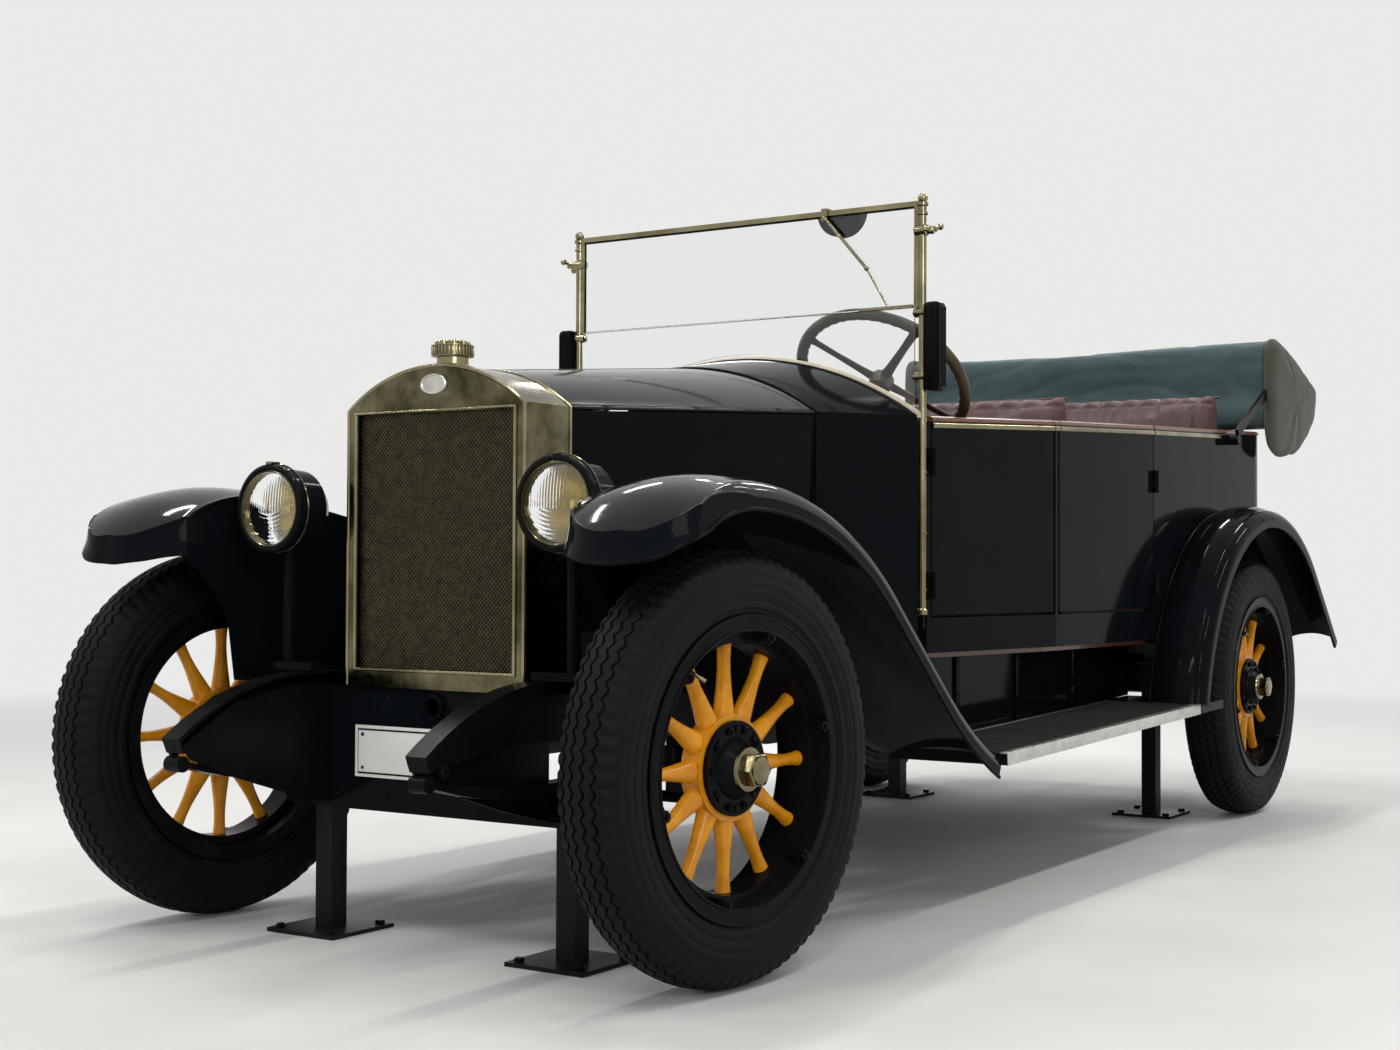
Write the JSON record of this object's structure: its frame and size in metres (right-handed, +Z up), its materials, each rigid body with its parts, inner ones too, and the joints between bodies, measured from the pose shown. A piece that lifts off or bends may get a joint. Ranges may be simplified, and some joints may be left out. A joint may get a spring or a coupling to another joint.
{
  "type": "open touring car",
  "caption": "Open touring car of the late 1920s with separate fenders, wood-spoked wheels and a folded fabric hood behind the rear seat, standing on axle stands.",
  "frame": {"origin": "on the floor under the middle of the whole car", "axes": "+X towards the car's front, +Y to its left, +Z up"},
  "size_m": [4.184, 1.53, 1.604],
  "materials": {
    "paint": "gloss",
    "black_metal": "satin",
    "nickel": "polished",
    "core": "aged mesh",
    "tyre": "matte",
    "spoke_wood": "varnished",
    "trim_wood": "varnished",
    "glass": "clear",
    "lens": "fluted",
    "leather": "worn",
    "canvas": "woven",
    "iron": "rough",
    "plate": "satin",
    "stand": "satin",
    "red_lens": "gloss"
  },
  "bodies": {
    "chassis": {"axle_stands": "stand", "body_floor": "trim_wood", "body_shell": "paint", "bonnet_rod": "black_metal", "chassis_frame": "black_metal", "cowl": "paint", "dashboard": "trim_wood", "engine": "iron", "exhaust": "iron", "folded_hood": "canvas", "front_axle": "black_metal", "front_fenders": "paint", "front_seat": "leather", "front_valance": "paint", "headlamp_lenses": "lens", "headlamps": "paint", "hood_irons": "black_metal", "indicator_boxes": "black_metal", "leaf_springs": "black_metal", "number_plate": "plate", "radiator_core": "core", "radiator_shell": "nickel", "rear_axle": "black_metal", "rear_fenders": "paint", "rear_seat": "leather", "running_boards": "black_metal", "side_aprons": "paint", "spare_rim": "black_metal", "spare_tyre": "tyre", "steering_column": "black_metal", "tail_lamp": "red_lens", "windscreen_frame": "nickel", "windscreen_glass": "glass", "wiper": "black_metal", "wiper_arm": "nickel"},
    "wheel_front_left_body": {"tyre_front_left": "tyre", "spokes_front_left": "spoke_wood", "wheel_front_left": "black_metal"},
    "wheel_front_right_body": {"tyre_front_right": "tyre", "spokes_front_right": "spoke_wood", "wheel_front_right": "black_metal"},
    "wheel_rear_left_body": {"tyre_rear_left": "tyre", "spokes_rear_left": "spoke_wood", "wheel_rear_left": "black_metal"},
    "wheel_rear_right_body": {"tyre_rear_right": "tyre", "spokes_rear_right": "spoke_wood", "wheel_rear_right": "black_metal"},
    "knuckle_left_body": {"knuckle_left": "black_metal"},
    "door_front_left_body": {"door_front_left": "paint"},
    "door_rear_left_body": {"door_rear_left": "paint"},
    "bonnet_top_left_body": {"bonnet_top_left": "paint"},
    "bonnet_side_left_body": {"bonnet_side_left": "paint"},
    "knuckle_right_body": {"knuckle_right": "black_metal"},
    "door_front_right_body": {"door_front_right": "paint"},
    "door_rear_right_body": {"door_rear_right": "paint"},
    "bonnet_top_right_body": {"bonnet_top_right": "paint"},
    "bonnet_side_right_body": {"bonnet_side_right": "paint"},
    "tie_rod_body": {"tie_rod": "black_metal"},
    "steering_wheel_body": {"steering_wheel": "trim_wood"}
  },
  "joints": [
    {"name": "steer_left", "type": "hinge", "parent": "chassis", "child": "knuckle_left_body", "pos_m": [1.658, 0.545, 0.386], "axis": [0, 0, 1], "range_deg": [-24.3, 35.7]},
    {"name": "spin_front_left", "type": "hinge", "parent": "knuckle_left_body", "child": "wheel_front_left_body", "pos_m": [1.66793, 0.64451, 0.386], "axis": [0.0993, 0.9951, 0], "continuous": true},
    {"name": "spin_rear_left", "type": "hinge", "parent": "chassis", "child": "wheel_rear_left_body", "pos_m": [-1.292, 0.645, 0.386], "axis": [0, 1, 0], "continuous": true},
    {"name": "steer_right", "type": "hinge", "parent": "chassis", "child": "knuckle_right_body", "pos_m": [1.658, -0.545, 0.386], "axis": [0, 0, 1], "range_deg": [-24.3, 35.7]},
    {"name": "spin_front_right", "type": "hinge", "parent": "knuckle_right_body", "child": "wheel_front_right_body", "pos_m": [1.64807, -0.64451, 0.386], "axis": [0.0993, 0.9951, 0], "continuous": true},
    {"name": "spin_rear_right", "type": "hinge", "parent": "chassis", "child": "wheel_rear_right_body", "pos_m": [-1.292, -0.645, 0.386], "axis": [0, 1, 0], "continuous": true},
    {"name": "tie_rod_pivot", "type": "hinge", "parent": "knuckle_left_body", "child": "tie_rod_body", "pos_m": [1.49879, 0.56089, 0.386], "axis": [0, 0, 1], "range_deg": [-35.8, 24.4]},
    {"name": "steering_wheel_turn", "type": "hinge", "parent": "chassis", "child": "steering_wheel_body", "pos_m": [0.375, 0.282, 1.201], "axis": [-0.682, 0, 0.7314], "range_deg": [-245, 359]},
    {"name": "door_front_left_hinge", "type": "hinge", "parent": "chassis", "child": "door_front_left_body", "pos_m": [0.5485, 0.50726, 0.85], "axis": [0, 0, -1], "range_deg": [0, 75]},
    {"name": "door_rear_left_hinge", "type": "hinge", "parent": "chassis", "child": "door_rear_left_body", "pos_m": [-0.6305, 0.61294, 0.85], "axis": [0, 0, 1], "range_deg": [0, 75]},
    {"name": "door_front_right_hinge", "type": "hinge", "parent": "chassis", "child": "door_front_right_body", "pos_m": [0.5485, -0.50726, 0.85], "axis": [0, 0, 1], "range_deg": [0, 75]},
    {"name": "door_rear_right_hinge", "type": "hinge", "parent": "chassis", "child": "door_rear_right_body", "pos_m": [-0.6305, -0.61294, 0.85], "axis": [0, 0, -1], "range_deg": [0, 75]},
    {"name": "bonnet_top_left_hinge", "type": "hinge", "parent": "chassis", "child": "bonnet_top_left_body", "pos_m": [1.564, 0, 1.131], "axis": [0.9955, 0, -0.0945], "range_deg": [0, 30]},
    {"name": "bonnet_side_left_hinge", "type": "hinge", "parent": "bonnet_top_left_body", "child": "bonnet_side_left_body", "pos_m": [1.564, 0.225, 1.049], "axis": [-0.9795, 0.1956, 0.0486], "range_deg": [0, 20]},
    {"name": "bonnet_top_right_hinge", "type": "hinge", "parent": "chassis", "child": "bonnet_top_right_body", "pos_m": [1.564, 0, 1.131], "axis": [-0.9955, 0, 0.0945], "range_deg": [0, 30]},
    {"name": "bonnet_side_right_hinge", "type": "hinge", "parent": "bonnet_top_right_body", "child": "bonnet_side_right_body", "pos_m": [1.564, -0.225, 1.049], "axis": [0.9795, 0.1956, -0.0486], "range_deg": [0, 20]}
  ],
  "couplings": [
    {"joint": "steer_right", "follows": "steer_left", "ratio": 1},
    {"joint": "tie_rod_pivot", "follows": "steer_left", "ratio": -1},
    {"joint": "steering_wheel_turn", "follows": "steer_left", "ratio": 10},
    {"joint": "bonnet_side_left_hinge", "follows": "bonnet_top_left_hinge", "ratio": 0.6},
    {"joint": "bonnet_side_right_hinge", "follows": "bonnet_top_right_hinge", "ratio": 0.6}
  ]
}
